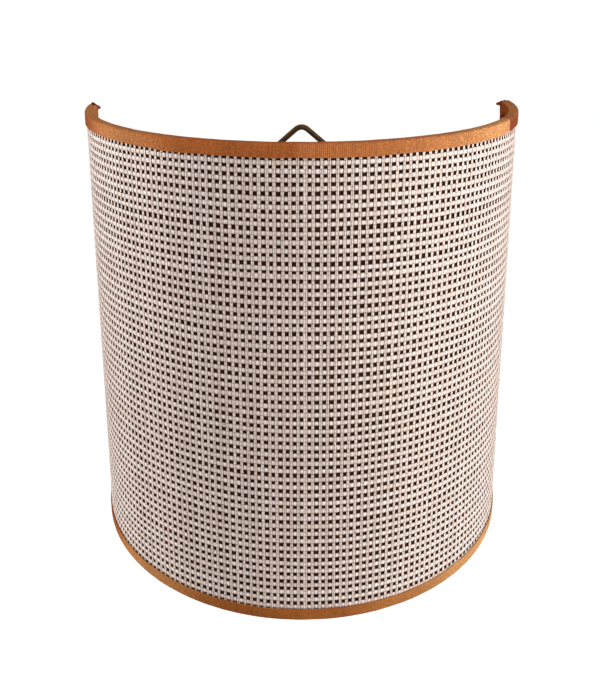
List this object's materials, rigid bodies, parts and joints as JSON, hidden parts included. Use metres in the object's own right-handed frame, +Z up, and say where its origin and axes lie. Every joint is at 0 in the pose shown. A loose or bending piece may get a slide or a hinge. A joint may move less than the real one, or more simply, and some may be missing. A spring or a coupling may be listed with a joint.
{
  "type": "raffia wall lamp",
  "caption": "Half-round, slightly flared wall lamp shade of woven raffia on a ribbon-bound wire frame with a hanging kink, holding an upright screw-base lampholder and bulb.",
  "frame": {"origin": "under the hanging kink of the rear bar, in the wall plane, where a nail passes", "axes": "+Z up, +Y into the wall along the nail, +X to the right seen from the room; the shade bulges towards -Y"},
  "size_m": [0.2218, 0.1114, 0.2182],
  "materials": {
    "raffia": "open plain weave of pale matte raffia strips",
    "liner": "dark brown stiffened backing, matte",
    "ribbon": "copper ribbed satin ribbon",
    "frame_wire": "bronze lacquer, satin",
    "holder_plastic": "black moulded, satin",
    "inlet_plastic": "dark grey moulded, matte",
    "insert_ceramic": "unglazed pale ceramic",
    "brass": "bright stamped",
    "bulb_glass": "clear, polished",
    "bulb_cap_metal": "rolled thread, bright",
    "bulb_insulator": "black glass-like",
    "filament": "yellow phosphor coat"
  },
  "bodies": {
    "lamp": {"raffia_cover": "raffia", "liner": "liner", "top_trim": "ribbon", "bottom_trim": "ribbon", "trim_lap": "ribbon", "side_trim_right": "ribbon", "side_trim_left": "ribbon", "top_ring": "frame_wire", "bottom_ring": "frame_wire", "strut_right": "frame_wire", "strut_left": "frame_wire", "hanger_bar": "frame_wire", "lamp_bar": "frame_wire", "fitter_arm_right": "frame_wire", "fitter_arm_left": "frame_wire", "fitter_ring": "frame_wire", "holder_sleeve": "holder_plastic", "holder_cap": "holder_plastic", "cord_inlet": "inlet_plastic", "holder_insert": "insert_ceramic", "screw_shell": "brass", "centre_contact": "brass", "terminal_screws": "brass"},
    "bulb": {"bulb_globe": "bulb_glass", "bulb_cap": "bulb_cap_metal", "bulb_tip": "bulb_cap_metal", "bulb_insulator": "bulb_insulator", "filament_stem": "bulb_glass", "led_filaments": "filament"},
    "shade_ring": {"shade_ring": "holder_plastic"}
  },
  "joints": [
    {"name": "bulb_turn", "type": "hinge", "parent": "lamp", "child": "bulb", "pos_m": [0, -0.048, -0.12], "axis": [0, 0, 1], "range_deg": [0, 1620]},
    {"name": "shade_ring_turn", "type": "hinge", "parent": "lamp", "child": "shade_ring", "pos_m": [0, -0.048, -0.137], "axis": [0, 0, 1], "range_deg": [0, 3330]}
  ]
}
